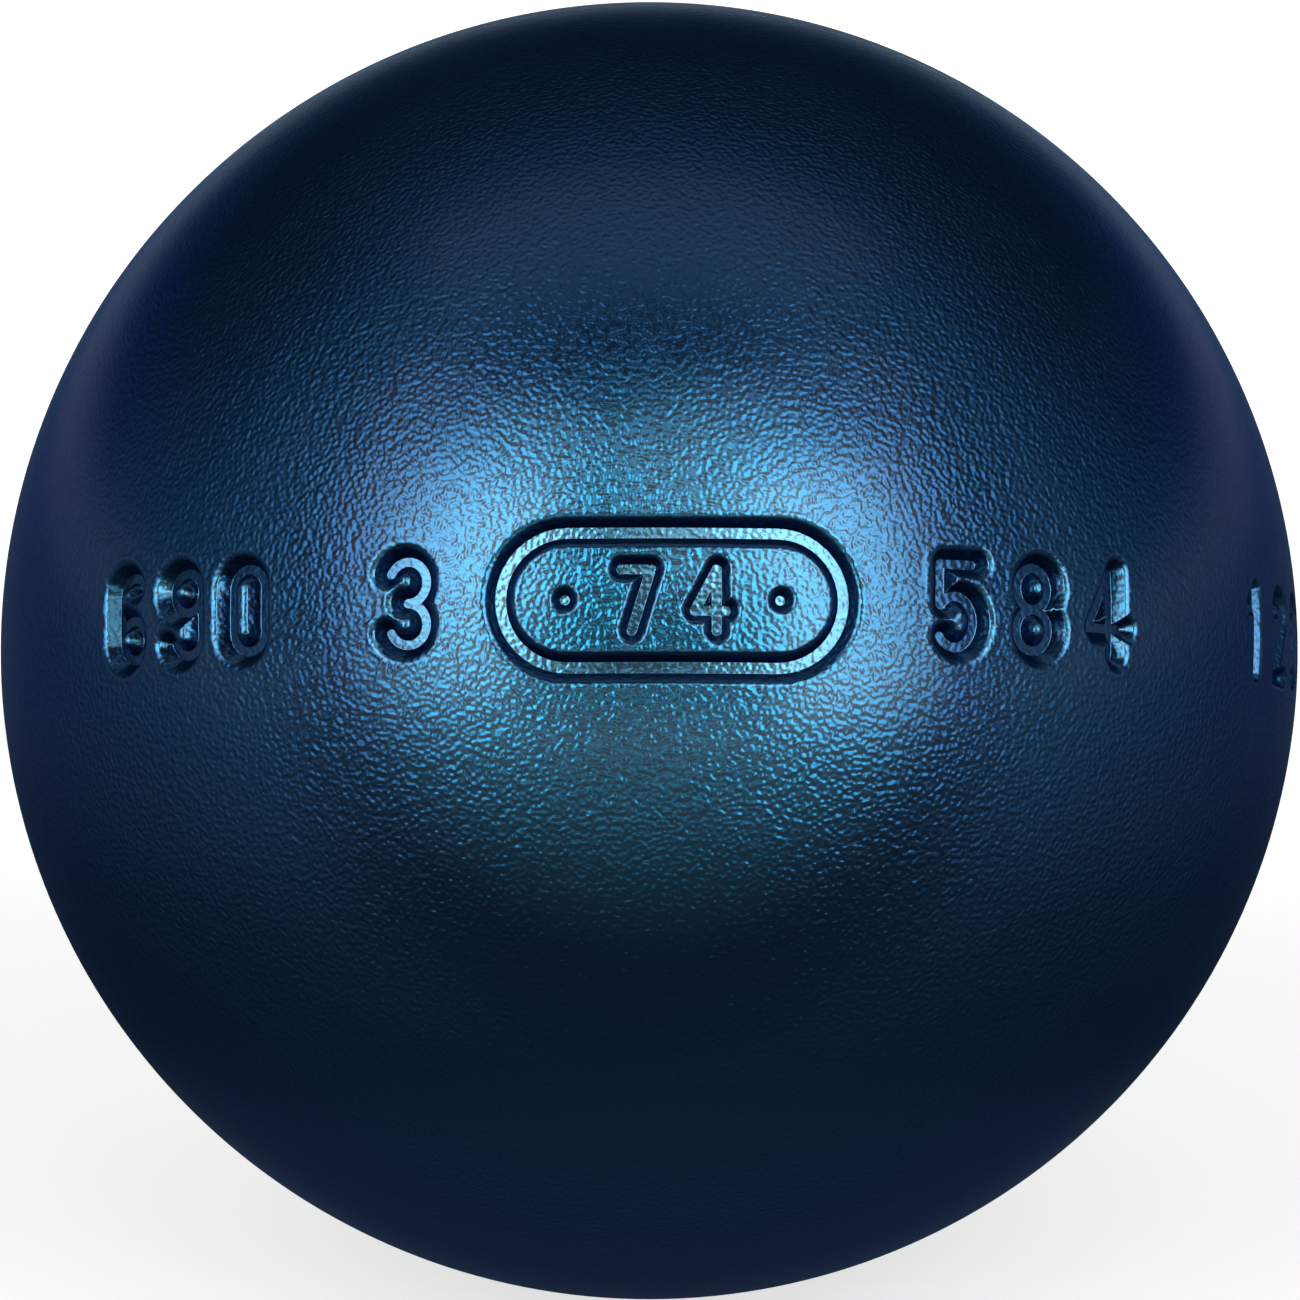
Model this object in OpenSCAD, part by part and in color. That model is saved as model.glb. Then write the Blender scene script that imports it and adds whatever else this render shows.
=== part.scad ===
// A hollow steel playing ball, made the way such balls are made. Two half shells are hot pressed
// from steel discs, their lips are turned for welding, and one full-penetration weld joins them.
// The outside is then turned and ground round, so the weld's cap is flush with the shells.
// Nothing is inside: the hollow is sealed, and the root of the weld stands in it as a low ridge.
// The weld lies in the XZ plane. The front half shell's pole faces -Y.

/* [Ball] */
// Outside diameter of the finished ball
ball_d = 74; // [71:0.5:80]
// Wall of the pressed half shells
wall_t = 6.2; // [5:0.1:8]

/* [Lips] */
// Flat land left at the root of each lip
root_face = 1.5; // [0.8:0.1:2.5]
// Angle of the bevel turned on each lip, from the plane of the weld
bevel_angle = 30; // [20:1:40]
// How far in from the weld's middle plane the lip is bored true
lip_bore_depth = 4; // [3:0.5:6]
// How deep that bore cuts into the pressed wall at the rim
lip_bore_cut = 0.3; // [0.2:0.05:0.6]

/* [Weld] */
// Gap between the two lands, filled by the root run
root_gap = 1.2; // [0.6:0.1:2]
// Width of the root bead inside the ball
root_bead_w = 3.4; // [2.6:0.1:4.5]
// How far the root bead stands into the hollow
root_bead_h = 0.9; // [0.4:0.1:1.5]

/* [Hidden] */
$fn = 144;
// How far a cut runs past what it cuts
overrun = 1;
ball_r = ball_d / 2;
hollow_r = ball_r - wall_t;
// Radius of the bore turned inside both lips: the root bead lies on it
lip_bore_r = hollow_r + lip_bore_cut;
// Radius at which the land ends and the bevel begins
land_top_r = lip_bore_r + root_face;
// Radius that cuts reach so that they clear the outside
clear_r = ball_r + overrun;
// The blue lacquer that covers the whole outside, weld and all
lacquer = "#24486e";

// Half the width of the weld's groove at a radius, above the land
function flank_y(r) = root_gap / 2 + (r - land_top_r) * tan(bevel_angle);

// The weld's groove beside the axis: a neck between the lands that opens into a V
module groove_area() {
    polygon([
        [lip_bore_r, -root_gap / 2],
        [land_top_r, -root_gap / 2],
        [clear_r, -flank_y(clear_r)],
        [clear_r, flank_y(clear_r)],
        [land_top_r, root_gap / 2],
        [lip_bore_r, root_gap / 2]
    ]);
}

// What is bored out inside one lip, with the 45 degree run-out that turning leaves
module lip_bore_area() {
    hollow_there = sqrt(pow(hollow_r, 2) - pow(lip_bore_depth, 2));
    runout = lip_bore_r - hollow_there + overrun;
    polygon([
        [0, 0],
        [lip_bore_r, 0],
        [lip_bore_r, lip_bore_depth],
        [lip_bore_r - runout, lip_bore_depth + runout],
        [0, lip_bore_depth + runout]
    ]);
}

// Half of the plane: right of the axis and above a height
module quarter_area(from_y) {
    translate([0, from_y])
        square([clear_r, clear_r]);
}

// One pressed half shell in section, its lip turned with a land, a bevel and a bore
module half_shell_profile() {
    difference() {
        intersection() {
            difference() {
                circle(r = ball_r);
                circle(r = hollow_r);
            }
            quarter_area(root_gap / 2);
        }
        groove_area();
        lip_bore_area();
    }
}

// The bead that the root run leaves inside, a low arc lying on the lips' bore
module root_bead_profile() {
    bead_r = (pow(root_bead_w / 2, 2) + pow(root_bead_h, 2)) / (2 * root_bead_h);
    intersection() {
        translate([lip_bore_r - root_bead_h + bead_r, 0])
            circle(r = bead_r);
        translate([lip_bore_r - root_bead_h - overrun, -root_bead_w / 2 - overrun])
            square([root_bead_h + overrun, root_bead_w + 2 * overrun]);
    }
}

// The weld in section: the filled groove, turned flush with the ball, and its root bead
module weld_profile() {
    intersection() {
        circle(r = ball_r);
        groove_area();
    }
    root_bead_profile();
}

// Turns a section about the ball's own axis, which runs along -Y
module turned() {
    rotate([90, 0, 0])
        rotate_extrude()
            children();
}

module front_half_shell() {
    color(lacquer)
        turned()
            half_shell_profile();
}

// The same pressing as the front one, turned to face it
module back_half_shell() {
    color(lacquer)
        mirror([0, 1, 0])
            turned()
                half_shell_profile();
}

module weld_seam() {
    color(lacquer)
        turned()
            weld_profile();
}

front_half_shell();
back_half_shell();
weld_seam();
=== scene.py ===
import math

import bmesh
import bpy
import numpy as np
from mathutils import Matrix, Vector
from mathutils.geometry import delaunay_2d_cdt
from mathutils.kdtree import KDTree


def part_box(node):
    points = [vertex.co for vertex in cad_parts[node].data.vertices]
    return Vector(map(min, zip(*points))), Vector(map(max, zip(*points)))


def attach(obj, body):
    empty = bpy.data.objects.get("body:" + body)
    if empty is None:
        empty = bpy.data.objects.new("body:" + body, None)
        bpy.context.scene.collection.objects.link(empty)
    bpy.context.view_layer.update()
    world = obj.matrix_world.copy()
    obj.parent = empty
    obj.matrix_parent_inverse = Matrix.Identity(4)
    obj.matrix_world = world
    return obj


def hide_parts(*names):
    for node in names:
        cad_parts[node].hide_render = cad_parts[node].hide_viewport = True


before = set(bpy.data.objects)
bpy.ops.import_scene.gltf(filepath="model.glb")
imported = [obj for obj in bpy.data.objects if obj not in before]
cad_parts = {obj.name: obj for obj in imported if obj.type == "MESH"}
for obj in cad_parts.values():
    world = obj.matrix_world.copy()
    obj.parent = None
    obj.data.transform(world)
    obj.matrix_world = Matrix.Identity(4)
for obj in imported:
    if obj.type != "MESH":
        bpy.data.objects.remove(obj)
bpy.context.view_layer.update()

# The view. The ball is looked at from a little above and from well back, so that it is drawn
# nearly flat, and its outline just touches the edges of the picture.
mm = 0.001
ball_r = -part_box("front_half_shell")[0].y
view_distance = 600 * mm
view_rise = math.radians(15)
outline_share = 0.998
picture_right = Vector((1, 0, 0))
picture_up = Vector((0, math.sin(view_rise), math.cos(view_rise)))
towards_camera = Vector((0, -math.cos(view_rise), math.sin(view_rise)))

camera = bpy.data.objects.new("camera", bpy.data.cameras.new("camera"))
bpy.context.scene.collection.objects.link(camera)
bpy.context.scene.camera = camera
camera.location = view_distance * towards_camera
camera.rotation_euler = (math.pi / 2 - view_rise, 0, 0)
half_frame = math.tan(math.asin(ball_r / view_distance)) / outline_share
camera.data.lens = camera.data.sensor_width / 2 / half_frame
camera.data.shift_x = 0.0006
camera.data.shift_y = 0.0005
bpy.context.scene.view_settings.view_transform = "Standard"

# The front half shell, pressed hot from a steel disc. Its lip is turned with a land, a bevel and a
# short bore for the weld. Figures are struck into its outside with punches, and then it is blasted
# and lacquered, so the finish runs down into them.
wall = 6.2 * mm
lip_bore_cut = 0.3 * mm
lip_bore_depth = 4 * mm
root_face = 1.5 * mm
hollow_r = ball_r - wall
lip_bore_r = hollow_r + lip_bore_cut
land_top_r = lip_bore_r + root_face
land_y = -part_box("front_half_shell")[1].y
cap_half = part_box("weld_seam")[1].y
rim_r = math.sqrt(ball_r**2 - cap_half**2)
around = 512
hollow_rings = 28
turns = np.linspace(0, 2 * math.pi, around, endpoint=False)


def ring(radius, height):
    """Points of a circle round the ball's Y axis, or the one point on the axis itself."""
    if radius < 1e-9:
        return np.array([[0, height, 0]])
    return np.column_stack((radius * np.cos(turns), np.full(around, height), radius * np.sin(turns)))


def band(one, other):
    """Faces between two rings of vertex numbers, where a ring of one number is a pole."""
    if len(other) == 1:
        one, other = other, one
    after = np.roll(other, -1)
    if len(one) == 1:
        return [(one[0], a, b) for a, b in zip(other, after)]
    return list(zip(one, np.roll(one, -1), after, other))


def turned(points, profile, last=None):
    """Adds a ring for each (radius, height) of a profile, and returns the faces that join them."""
    faces = []
    for radius, height in profile:
        start = sum(len(p) for p in points)
        points.append(ring(radius, height))
        now = list(range(start, start + len(points[-1])))
        if last is not None:
            faces += band(last, now)
        last = now
    return faces


def lip_and_hollow(side):
    """(radius, height) of a shell's lip, from the rim inwards, and of its hollow up to the pole."""
    slack = lip_bore_r**2 + lip_bore_depth**2 - hollow_r**2
    reach = lip_bore_r - lip_bore_depth
    run_out = (reach - math.sqrt(reach**2 - 2 * slack)) / 2
    start = math.atan2(lip_bore_depth + run_out, lip_bore_r - run_out)
    arc = np.linspace(start, math.pi / 2, hollow_rings)[:-1]
    profile = [(land_top_r, land_y), (lip_bore_r, land_y), (lip_bore_r, lip_bore_depth)]
    profile += [(hollow_r * math.cos(a), hollow_r * math.sin(a)) for a in arc] + [(0, hollow_r)]
    return [(radius, side * height) for radius, height in profile]


def build(name, points, shown, hidden, normals):
    """A closed mesh that rides on the ball, with exact normals on its finished outside."""
    mesh = bpy.data.meshes.new(name)
    mesh.from_pydata(np.vstack(points).tolist(), [], [tuple(int(i) for i in f) for f in shown + hidden])
    work = bmesh.new()
    work.from_mesh(mesh)
    bmesh.ops.recalc_face_normals(work, faces=work.faces)
    work.to_mesh(mesh)
    work.free()
    mesh.polygons.foreach_set("use_smooth", [True] * len(mesh.polygons))
    mesh.set_sharp_from_angle(angle=math.radians(25))
    vertex = np.zeros(len(mesh.loops), int)
    mesh.loops.foreach_get("vertex_index", vertex)
    corners = np.zeros((len(mesh.loops), 3))
    outside = sum(len(f) for f in shown)
    corners[:outside] = normals[vertex[:outside]]
    mesh.normals_split_custom_set(corners.tolist())
    piece = bpy.data.objects.new(name, mesh)
    bpy.context.scene.collection.objects.link(piece)
    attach(piece, "root")
    return piece


# The figures lie along a great circle that rises towards the viewer. A place on it is given on a
# flat sheet: metres along the circle from its front, and metres across it.
ring_rise = view_rise + math.radians(4.3)
ring_right = np.array([1, 0, 0])
ring_front = np.array([0, -math.cos(ring_rise), math.sin(ring_rise)])
ring_up = np.array([0, math.sin(ring_rise), math.cos(ring_rise)])


def off_sheet(sheet):
    """Unit vectors from the ball's centre to places on the sheet."""
    a, b = sheet[:, 0:1] / ball_r, sheet[:, 1:2] / ball_r
    return np.cos(b) * (np.sin(a) * ring_right + np.cos(a) * ring_front) + np.sin(b) * ring_up


def on_sheet(out):
    """Places on the sheet of unit vectors from the ball's centre."""
    along = np.arctan2(out @ ring_right, out @ ring_front)
    return ball_r * np.column_stack((along, np.arcsin(np.clip(out @ ring_up, -1, 1))))


# A punch leaves a flat floor, a steep wall, a soft shoulder and a low lip where the metal rose.
# These are half widths from the middle of its stroke, and slopes. A light blow leaves a thinner mark.
floor_half = 0.36 * mm
wall_half = 0.82 * mm
shoulder_half = 1.14 * mm
lip_half = 1.5 * mm
shoulder_slope = 0.9
wall_slope = 1.45
lip_rise = 0.02 * mm
thinner = 0.1 * mm


def sunk(distance):
    """How deep a punch mark is at a distance from the middle of its stroke."""
    up_shoulder = np.clip((shoulder_half - distance) / (shoulder_half - wall_half), 0, 1)
    shoulder = shoulder_slope * (shoulder_half - wall_half) / 2 * up_shoulder**2
    down_wall = wall_slope * np.clip(wall_half - distance, 0, wall_half - floor_half)
    on_lip = np.clip((distance - wall_half) / (lip_half - wall_half), 0, 1)
    return shoulder + down_wall - lip_rise * np.sin(math.pi * on_lip**1.5) ** 2


bow_step = 9


def bow(x, y, across, high, start, end):
    """Points along an arc, from one angle to another, in degrees."""
    steps = max(3, int(abs(end - start) / bow_step))
    return [(x + across * math.cos(math.radians(a)), y + high * math.sin(math.radians(a)))
            for a in np.linspace(start, end, steps + 1)]


# Each figure is one or more strokes, in half widths of the figure.
tall = 2.09
top = tall - 1
middle = tall / 2
figures = {
    "0": [bow(0, top, 1, 1, 0, 180) + bow(0, -top, 1, 1, 180, 360) + [(1, top)]],
    "1": [[(-0.75, tall - 0.85), (0.15, tall), (0.15, -tall)]],
    "2": [bow(0, top, 1, 1, 165, -25) + [(-1, -tall), (1, -tall)]],
    "3": [bow(0, middle, 1, middle, 155, -90) + bow(0, -middle, 1, middle, 90, -155)],
    "4": [[(0.5, -tall), (0.5, tall), (-1, -0.35 * tall), (1.1, -0.35 * tall)]],
    "5": [[(0.95, tall), (-0.85, tall), (-0.9, 0.1)] + bow(-0.05, -0.8, 1.05, 1.29, 140, -145)],
    "6": [bow(0, top, 1, 1, 25, 180) + bow(0, -top, 1, 1, 180, 540)],
    "7": [[(-1, tall), (1, tall), (-0.3, -tall)]],
    "8": [bow(0, middle, 0.95, middle, -90, 270), bow(0, -middle, 1, middle, 90, 450)],
    "9": [bow(0, -top, 1, 1, 205, 360) + bow(0, top, 1, 1, 0, 360)],
}
figure_half = 1.1 * mm
small_figure_half = 0.8 * mm


def row_of(text, turn, pitch, half=figure_half):
    """The strokes of a row of figures, centred at an angle along the circle."""
    strokes = []
    for place, character in enumerate(text):
        at = math.radians(turn) * ball_r + (place - (len(text) - 1) / 2) * pitch
        strokes += [[(at + half * x, half * y) for x, y in stroke] for stroke in figures[character]]
    return strokes


def long_ring(turn, half_long, half_high):
    """A long ring with round ends, centred at an angle along the circle."""
    at, straight = math.radians(turn) * ball_r, half_long - half_high
    right = bow(at + straight, 0, half_high, half_high, -90, 90)
    return [right + bow(at - straight, 0, half_high, half_high, 90, 270) + right[:1]]


def dots(turn, apart):
    """Two dots, the same way to each side of an angle along the circle."""
    return [[(math.radians(turn) * ball_r + side * apart, 0)] * 2 for side in (-1, 1)]


# Each mark is the size of its punch against the full one, how much thinner its stroke is to each
# side, and its strokes. The long ring holds the ball's diameter between two dots.
diameter = f"{2 * ball_r / mm:.0f}"
marks = [
    (1.0, thinner, row_of("690", -44.14, 4.65 * mm)),
    (1.0, thinner, row_of("3", -21.05, 0)),
    (0.85, 0, long_ring(2.0, 9.5 * mm, 3.7 * mm)),
    (0.75, 0, row_of(diameter, 2.0, 4.0 * mm, small_figure_half) + dots(2.0, 5.9 * mm)),
    (1.0, thinner, row_of("584", 35.1, 5.1 * mm)),
    (0.65, 0, row_of("120", 73.5, 4.6 * mm)),
]


def off_stroke(sheet, size, thin, strokes):
    """How far out on a full punch's profile the places on the sheet lie."""
    start = np.array([p for s in strokes for p in s[:-1]])
    run = np.array([p for s in strokes for p in s[1:]]) - start
    length = np.maximum((run**2).sum(1), 1e-18)
    nearest = np.empty(len(sheet))
    at_once = 4000
    for first in range(0, len(sheet), at_once):
        off = sheet[first:first + at_once, None, :] - start[None]
        share = np.clip((off * run).sum(2) / length, 0, 1)
        nearest[first:first + at_once] = np.sqrt(((off - share[..., None] * run) ** 2).sum(2).min(1))
    return nearest / size + thin


mark_margin = 2 * mm


def near_marks(sheet, margin=mark_margin):
    """For each mark, which places on the sheet lie within a margin of it, its punch and its strokes."""
    for size, thin, strokes in marks:
        points = np.array([p for s in strokes for p in s])
        near = ((sheet > points.min(0) - margin) & (sheet < points.max(0) + margin)).all(1)
        if near.any():
            yield near, size, thin, strokes


def depth_at(sheet):
    """How far the struck surface lies under the ball's own at places on the sheet."""
    depth = np.zeros(len(sheet))
    for near, size, thin, strokes in near_marks(sheet):
        depth[near] += size * sunk(off_stroke(sheet[near], size, thin, strokes))
    return depth


def nearness_at(sheet):
    """1 in the middle of a stroke, falling to 0 where its lip ends."""
    nearness = np.zeros(len(sheet))
    for near, size, thin, strokes in near_marks(sheet):
        share = 1 - off_stroke(sheet[near], size, thin, strokes) / lip_half
        nearness[near] = np.maximum(nearness[near], share)
    return nearness


def slopes_of(height, sheet, probe):
    """How steeply a height over the sheet rises along the circle, and how steeply across it."""
    return [(height(sheet + way) - height(sheet - way)) / (2 * probe) for way in probe * np.eye(2)]


def thinned(places, gap):
    """Places with any that lie closer than a gap to an earlier one taken out."""
    tree = KDTree(len(places))
    for i, (x, y) in enumerate(places):
        tree.insert((x, y, 0), i)
    tree.balance()
    keep = np.ones(len(places), bool)
    for i, (x, y) in enumerate(places):
        if keep[i]:
            for _, other, _ in tree.find_range((x, y, 0), gap):
                if other > i:
                    keep[other] = False
    return places[keep]


def beside_stroke(stroke, offset, spacing):
    """Evenly spaced points along both sides of a stroke, and round its corners and ends."""
    stroke = np.array(stroke)
    steps = np.linalg.norm(np.diff(stroke, axis=0), axis=1)
    places = []
    if steps.sum() > spacing:
        gone = np.concatenate(([0], np.cumsum(steps)))
        at = np.linspace(0, gone[-1], int(gone[-1] / spacing) + 2)
        points = np.column_stack([np.interp(at, gone, stroke[:, i]) for i in (0, 1)])
        run = np.gradient(points, axis=0)
        run /= np.maximum(np.linalg.norm(run, axis=1, keepdims=True), 1e-12)
        across = np.column_stack((-run[:, 1], run[:, 0]))
        places += [points + offset * across, points - offset * across]
    count = max(1, int(2 * math.pi * offset / spacing))
    turn = np.linspace(0, 2 * math.pi, count, endpoint=False)
    round_it = offset * np.column_stack((np.cos(turn), np.sin(turn)))
    return np.vstack(places + [corner + round_it for corner in stroke])


# The mesh follows each mark closely: its points lie on levels of the punch's profile, and on the
# creases inside a figure, where the slope of the distance from its strokes falls off.
levels = mm * np.array([0, 0.1, 0.22, 0.335, 0.385, 0.47, 0.56, 0.65, 0.73, 0.795, 0.845, 0.94,
                        1.04, 1.14, 1.3, 1.5, 1.8])
level_spacing = 0.12 * mm
level_gap = 0.07 * mm
off_level = 0.003 * mm
crease_spacing = 0.08 * mm
crease_probe = 0.04 * mm
crease_slope = 0.93
smallest_gap = 0.035 * mm


def mark_points():
    """Places on the sheet that follow each mark's floor, wall, shoulder and lip, and its creases."""
    found = []
    for size, thin, strokes in marks:
        def outwards(places):
            return off_stroke(places, size, thin, strokes)

        for level in levels[levels >= thin]:
            offset = (level - thin) * size
            places = np.vstack([beside_stroke(s, offset, level_spacing) for s in strokes])
            on_level = np.abs(outwards(places) - level) < off_level
            found.append(thinned(places[on_level], level_gap))
        points = np.array([p for s in strokes for p in s])
        low, high = points.min(0) - mark_margin, points.max(0) + mark_margin
        columns, rows = [np.arange(low[i], high[i], crease_spacing) for i in (0, 1)]
        grid = np.stack(np.meshgrid(columns, rows), -1).reshape(-1, 2)
        grid = grid[outwards(grid) < lip_half]
        found.append(grid[size * np.hypot(*slopes_of(outwards, grid, crease_probe)) < crease_slope])
    return thinned(np.vstack(found), smallest_gap)


plain_step = 0.9 * mm
clear_of_marks = 2.2 * mm


def plain_points():
    """Unit vectors spread over the rest of the half shell, in rings about its pole."""
    edge = math.asin(rim_r / ball_r)
    rows, step = [], plain_step / ball_r
    for polar in np.arange(0, edge - 0.75 * step, step):
        count = max(1, round(2 * math.pi * math.sin(polar) / step))
        turn = np.linspace(0, 2 * math.pi, count, endpoint=False) + polar
        rows.append(np.column_stack((np.sin(polar) * np.cos(turn), np.full(count, -np.cos(polar)),
                                     np.sin(polar) * np.sin(turn))))
    spread = np.vstack(rows)
    sheet = on_sheet(spread)
    clear = np.ones(len(spread), bool)
    for near, size, thin, strokes in near_marks(sheet, 2 * mark_margin):
        clear[near] = off_stroke(sheet[near], size, thin, strokes) > clear_of_marks
    return spread[clear]


# The points are joined on a flat drawing of the half shell, seen from the far pole, which keeps
# angles true. Then they go back on the ball, sunk where they are struck.
rim_clearance = 0.25 * mm
normal_probe = 0.02 * mm
struck_places = off_sheet(mark_points())
struck_places = struck_places[struck_places[:, 1] * ball_r < -cap_half - rim_clearance]
places = np.vstack((struck_places, plain_points(), ring(rim_r, -cap_half) / ball_r))
flat = places[:, [0, 2]] / (1 - places[:, 1:2])
knots, _, skin_faces, _, _, _ = delaunay_2d_cdt([Vector(p) for p in flat], [], [], 0, 1e-7)
knots = np.array([tuple(k) for k in knots])
square = (knots**2).sum(1)
out = np.column_stack((2 * knots[:, 0], square - 1, 2 * knots[:, 1])) / (1 + square)[:, None]
sheet = on_sheet(out)
along_slope, across_slope = slopes_of(depth_at, sheet, normal_probe)
east = np.cross(ring_up, out)
east /= np.maximum(np.linalg.norm(east, axis=1, keepdims=True), 1e-12)
skin_normals = out + along_slope[:, None] * east + across_slope[:, None] * np.cross(out, east)

from_pole = np.hypot(knots[:, 0], knots[:, 1])
rim = np.nonzero(from_pole > from_pole.max() - 1e-5)[0]
rim = rim[np.argsort(np.arctan2(knots[rim, 1], knots[rim, 0]) % (2 * math.pi))]
points = [(ball_r - depth_at(sheet))[:, None] * out]
inside = turned(points, lip_and_hollow(-1), last=list(rim))
front = build("front_half_shell_struck", points, skin_faces, inside, skin_normals)
nearness = np.zeros(len(front.data.vertices))
nearness[:len(sheet)] = nearness_at(sheet)
front.data.attributes.new("struck", "FLOAT", "POINT").data.foreach_set("value", nearness)
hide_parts("front_half_shell")


class Value:
    """A number, colour or vector in a finish. Arithmetic on numbers adds the Math nodes for it."""

    def __init__(self, finish, socket):
        self.finish, self.socket = finish, socket

    def maths(self, operation, first, second):
        return self.finish.add("Math", {"operation": operation}, {0: first, 1: second})

    def __add__(self, other):
        return self.maths("ADD", self, other)

    def __mul__(self, other):
        return self.maths("MULTIPLY", self, other)

    def __sub__(self, other):
        return self.maths("SUBTRACT", self, other)

    def __rsub__(self, other):
        return self.maths("SUBTRACT", other, self)

    __radd__, __rmul__ = __add__, __mul__


class Finish:
    """The nodes of a material or of the world."""

    def __init__(self, owner):
        owner.use_nodes = True
        self.tree = owner.node_tree
        self.tree.nodes.clear()

    def add(self, kind, settings=None, values=None, output=0):
        """One node: its type, its settings, and the values or links of its sockets."""
        node = self.tree.nodes.new("ShaderNode" + kind)
        for name, value in (settings or {}).items():
            setattr(node, name, value)
        for name, value in (values or {}).items():
            if isinstance(value, Value):
                self.tree.links.new(value.socket, node.inputs[name])
            else:
                node.inputs[name].default_value = value
        return Value(self, node.outputs[output]) if node.outputs else None

    def ramp(self, value, low, high, to_low=0.0, to_high=1.0):
        """A value carried smoothly from one range to another and held at its ends."""
        return self.add("MapRange", {"interpolation_type": "SMOOTHSTEP"},
                        {0: value, 1: low, 2: high, 3: to_low, 4: to_high})

    def blend(self, share, one, other):
        """One colour carried to another."""
        return self.add("Mix", {"data_type": "RGBA"}, {0: share, 6: one, 7: other}, output=2)

    def ray(self, kind):
        """1 for a ray of a kind, such as the camera's, and 0 for any other."""
        return self.add("LightPath", output=f"Is {kind} Ray")


# The lacquer is a clear blue coat over bright metal flake. It darkens as it turns away, partly the
# flake's own flop and partly painted shade towards the outline, and its gloss softens as it turns
# away. It is paler on the punches' flat floors. The blasted steel under it leaves a fine pebble
# all over, pressed flatter in the marks.
pebble_pitch = 0.27 * mm
pebble_height = 0.085 * mm
pressed_flatter = 0.4
drift_scale = 60.0
rough_least, rough_most = 0.2, 0.24
rough_turned = 0.2
coat_face_on = 0.46
coat_lost = 0.35
face_blue = (0.012, 0.15, 0.275, 1)
# The turned-away blue is painted shade towards the outline, partly the flake's own flop.
turned_away_painted_shade_blue = (0.01, 0.048, 0.12, 1)
floor_blue = (0.06, 0.24, 0.38, 1)
edge_blue = (0.03, 0.35, 0.68, 1)


def struck_value(distance):
    """What the attribute struck says at a distance from the middle of a stroke."""
    return 1 - distance / lip_half


def lacquer(name):
    """The lacquer as a material."""
    material = bpy.data.materials.new(name)
    finish = Finish(material)
    place = finish.add("TexCoord", output="Object")
    struck = finish.add("Attribute", {"attribute_name": "struck"}, output="Fac")
    on_floor = finish.ramp(struck, struck_value(0.42 * mm), struck_value(0.32 * mm))
    in_mark = finish.ramp(struck, struck_value(1.2 * mm), struck_value(0.9 * mm))
    facing = finish.add("LayerWeight", {}, {"Blend": 0.5}, output="Facing")
    turned_away = finish.ramp(facing, 0.0, 0.131)
    softer = rough_turned * finish.ramp(facing, 0.11, 0.25)
    grain = finish.add("TexNoise", {}, {"Vector": place, "Scale": 1 / pebble_pitch, "Detail": 0.0})
    drift = finish.add("TexNoise", {}, {
        "Vector": place, "Scale": drift_scale, "Detail": 3.0, "Roughness": 0.6})
    # Blending to the turned-away blue as the surface turns away paints shade towards the outline.
    blue = finish.blend(turned_away, finish.blend(on_floor, face_blue, floor_blue), turned_away_painted_shade_blue)
    normal = finish.add("Bump", {}, {
        "Strength": 1 - pressed_flatter * in_mark, "Distance": pebble_height, "Height": grain})
    shader = finish.add("BsdfPrincipled", {}, {
        "Base Color": blue, "Metallic": 1.0, "Specular Tint": edge_blue, "Normal": normal,
        "Roughness": finish.ramp(drift, 0.3, 0.7, rough_least, rough_most) + softer,
        "Coat Weight": coat_face_on - coat_lost * turned_away, "Coat Roughness": 0.24, "Coat IOR": 1.83})
    finish.add("OutputMaterial", {}, {"Surface": shader})
    return material


front.data.materials.append(lacquer("blue_lacquer"))

# The back half shell. It is pressed from a steel disc and its lip is turned, both as the front one
# is. It carries no figures, and it is blasted and lacquered with the rest once it is welded on.
skin_rings = 72
arc = np.linspace(math.asin(cap_half / ball_r), math.pi / 2, skin_rings)[:-1]
points = []
outside = turned(points, [(ball_r * math.cos(a), ball_r * math.sin(a)) for a in arc] + [(0, ball_r)])
skin = np.vstack(points)
inside = turned(points, lip_and_hollow(1), last=list(range(around)))
back = build("back_half_shell_plain", points, outside, inside, skin / ball_r)
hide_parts("back_half_shell")
back.data.materials.append(front.data.materials[0])

# The weld that joins the shells, of steel run in all round. It fills the groove between their
# bevels, is ground down flush with the ball outside, and leaves a round bead inside.
crown_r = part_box("weld_seam")[1].z
crown_rings = 15
bead_half = 1.7 * mm
bead_height = 0.9 * mm
bead_r = (bead_half**2 + bead_height**2) / (2 * bead_height)
bead_turn = math.asin(bead_half / bead_r)
across = np.linspace(-1, 1, crown_rings)
crown = [(crown_r * math.cos(a), crown_r * math.sin(a)) for a in across * math.asin(cap_half / crown_r)]
bead = [(lip_bore_r - bead_height + bead_r - bead_r * math.cos(a), -bead_r * math.sin(a))
        for a in -across * bead_turn]
points = []
outside = turned(points, crown)
crown_normals = np.vstack(points) / crown_r
first_ring = list(range(around))
last_ring = list(range((crown_rings - 1) * around, crown_rings * around))
sides = turned(points, [(land_top_r, land_y), (lip_bore_r, land_y), *bead, (lip_bore_r, -land_y),
                        (land_top_r, -land_y)], last=last_ring)
count = sum(len(p) for p in points)
sides += band(list(range(count - around, count)), first_ring)
weld = build("weld_seam_ground", points, outside, sides, crown_normals)
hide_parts("weld_seam")
weld.data.materials.append(lacquer("lacquer_over_weld"))

# The floor is a wide sheet of paper. The camera sees it white, with the ball's shadow on it. The
# ball's gloss sees a painted dim reflection of it: dim close by, dimmest before and behind the
# ball, and white far out.
paper_half = 4.0
paper_mesh = bpy.data.meshes.new("paper_floor")
paper_corners = [(x * paper_half, y * paper_half, -ball_r) for x, y in ((-1, -1), (1, -1), (1, 1), (-1, 1))]
paper_mesh.from_pydata(paper_corners, [], [(0, 1, 2, 3)])
paper = bpy.data.objects.new("paper_floor", paper_mesh)
bpy.context.scene.collection.objects.link(paper)

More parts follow.
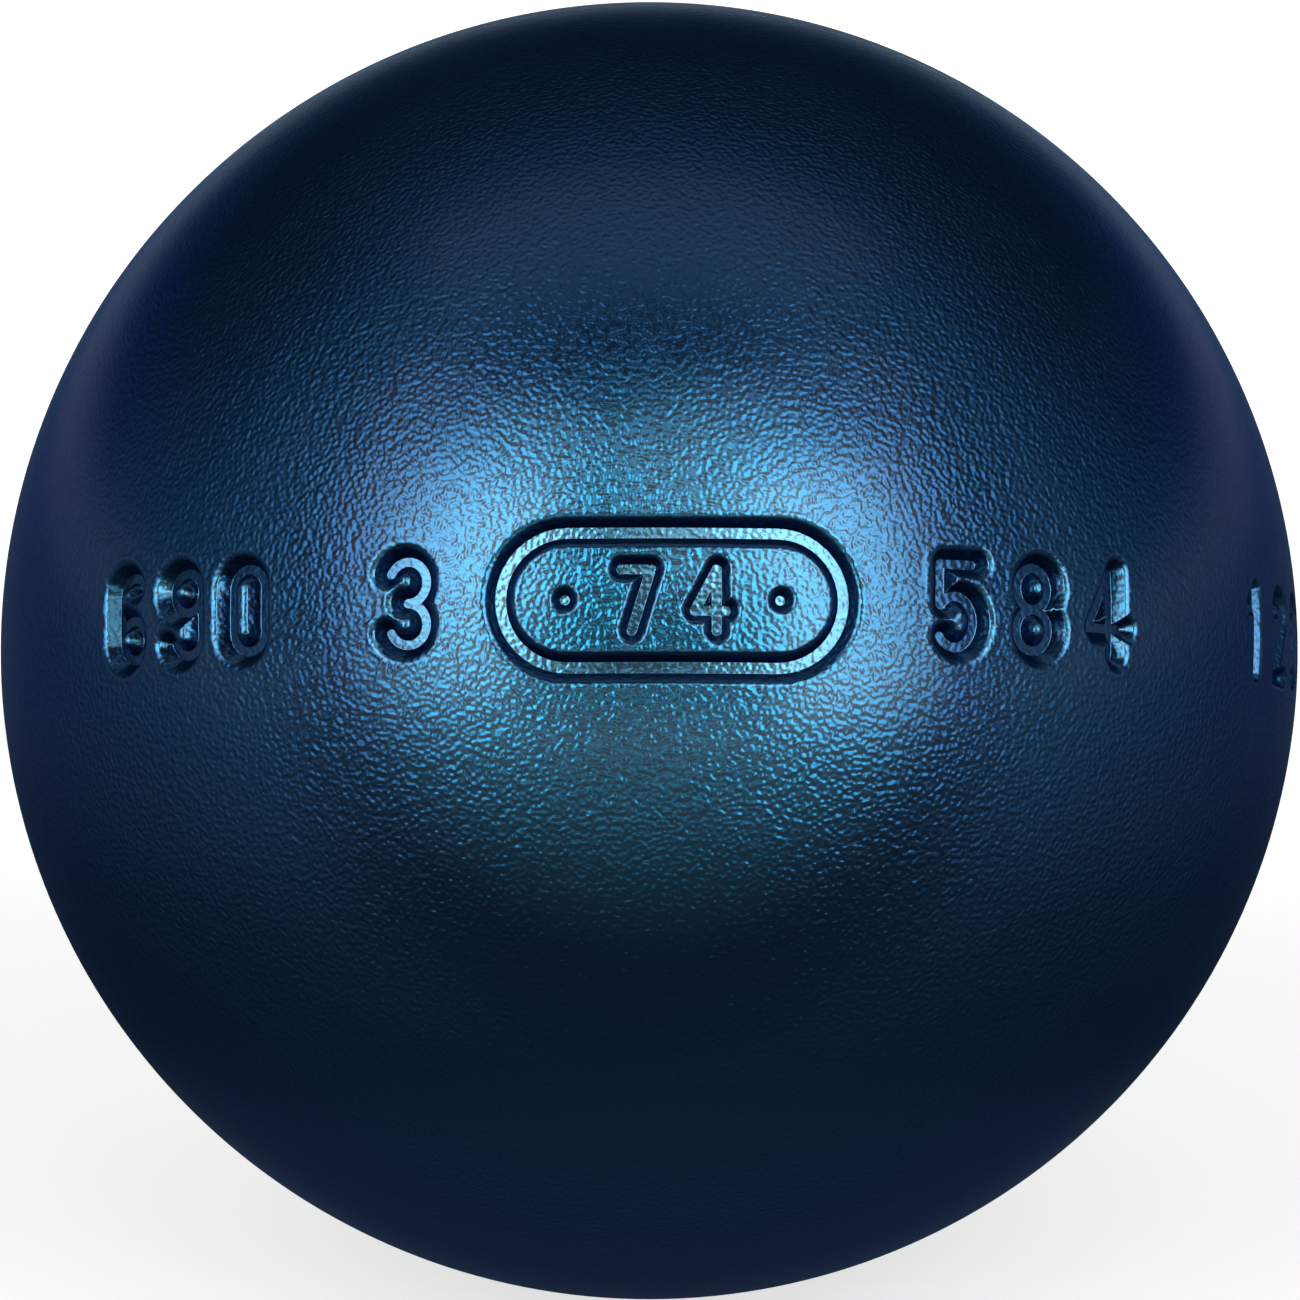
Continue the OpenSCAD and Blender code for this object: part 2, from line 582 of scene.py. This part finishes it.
# Ranges are in metres from the middle of the ball. The dimmest part is an oval that reaches less
# far to the sides than to the front and back.
beside_foot = (0.045, 0.06)
oval_edge = (0.13, 0.2)
oval_narrower = 1.7
shadow_reach = (0.04, 0.3)
far_out = (0.5, 1.5)
dim_glow = 0.13
shadow_glow = 0.7
paper_material = bpy.data.materials.new("paper")
finish = Finish(paper_material)
place = finish.add("TexCoord", output="Object")
away = finish.add("VectorMath", {"operation": "LENGTH"}, {0: place}, output="Value")
widened = finish.add("VectorMath", {"operation": "MULTIPLY"}, {0: place, 1: (oval_narrower, 1.0, 1.0)})
oval_away = finish.add("VectorMath", {"operation": "LENGTH"}, {0: widened}, output="Value")
near_white = finish.ramp(away, *shadow_reach)
dimmest = finish.ramp(away, *beside_foot) * (1 - finish.ramp(oval_away, *oval_edge))
dim_white = dim_glow * (1 - dimmest) + (1 - dim_glow) * finish.ramp(away, *far_out)
gloss = finish.ray("Glossy") + finish.ray("Transmission")
white = finish.add("AddShader", {}, {
    0: finish.add("BsdfDiffuse", {}, {"Color": (0.45, 0.45, 0.45, 1)}),
    1: finish.add("Emission", {}, {
        "Color": shadow_glow + (1 - shadow_glow) * near_white, "Strength": 1.0})})
# For all but the camera the paper is darker, with a glow that only gloss sees: a painted dim reflection.
dim = finish.add("AddShader", {}, {
    0: finish.add("BsdfDiffuse", {}, {"Color": (0.17, 0.17, 0.17, 1)}),
    1: finish.add("Emission", {}, {"Color": dim_white * gloss, "Strength": 1.0})})
finish.add("OutputMaterial", {}, {
    "Surface": finish.add("MixShader", {}, {0: finish.ray("Camera"), 1: dim, 2: white})})
paper_mesh.materials.append(paper_material)

# The room. It is dim above, and white where the floor ends, for the camera and for gloss, so that
# the paper has no edge in the picture.
room_glow = 0.05
room = bpy.data.worlds.new("room")
bpy.context.scene.world = room
finish = Finish(room)
upward = finish.add("SeparateXYZ", {}, {0: finish.add("TexCoord", output="Generated")}, output="Z")
shown = finish.ray("Camera") + (finish.ray("Glossy") + finish.ray("Transmission"))
horizon = (1 - finish.ramp(upward, 0.05, 0.15)) * shown
finish.add("OutputWorld", {}, {"Surface": finish.add("Background", {}, {
    "Color": room_glow + (1 - room_glow) * horizon, "Strength": 1.0})})


# The lamps. Two soft boxes stand to the left and right of the camera, each with a brighter middle.
# A long box hangs overhead, and a narrow one stands far round on each side.
def soft_box(name, turn, rise, half_wide, half_high, brightness, distance):
    """A lamp aimed at the ball, placed and sized by the angles at which the ball sees it."""
    a, e = math.radians(turn), math.radians(rise)
    towards = (math.cos(e) * math.sin(a) * picture_right + math.sin(e) * picture_up
               + math.cos(e) * math.cos(a) * towards_camera)
    lamp = bpy.data.objects.new(name, bpy.data.lights.new(name, "AREA"))
    bpy.context.scene.collection.objects.link(lamp)
    lamp.location = distance * towards
    lamp.rotation_euler = towards.to_track_quat("Z", "Y").to_euler()
    lamp.data.shape = "RECTANGLE"
    lamp.data.size = 2 * distance * math.tan(math.radians(half_wide))
    lamp.data.size_y = 2 * distance * math.tan(math.radians(half_high))
    lamp.data.energy = brightness * math.pi * lamp.data.size * lamp.data.size_y
    lamp.visible_camera = False


soft_box("left_box", -37.1, 26.7, 18.6, 18.6, 2.01, 1.5)
soft_box("left_box_middle", -36.8, 12.1, 15.4, 18.1, 3.35, 1.52)
soft_box("right_box", 25.8, 30.8, 26.8, 17.4, 1.41, 1.5)
soft_box("right_box_middle", 36.1, 11.2, 14.9, 20.6, 4.23, 1.52)
soft_box("overhead_box", 0.0, 78.0, 30.0, 13.3, 0.73, 1.2)
soft_box("right_edge_box", 78.0, 0.0, 10.0, 25.0, 0.21, 1.2)
soft_box("left_edge_box", -107.0, 10.0, 12.0, 20.0, 0.08, 1.2)
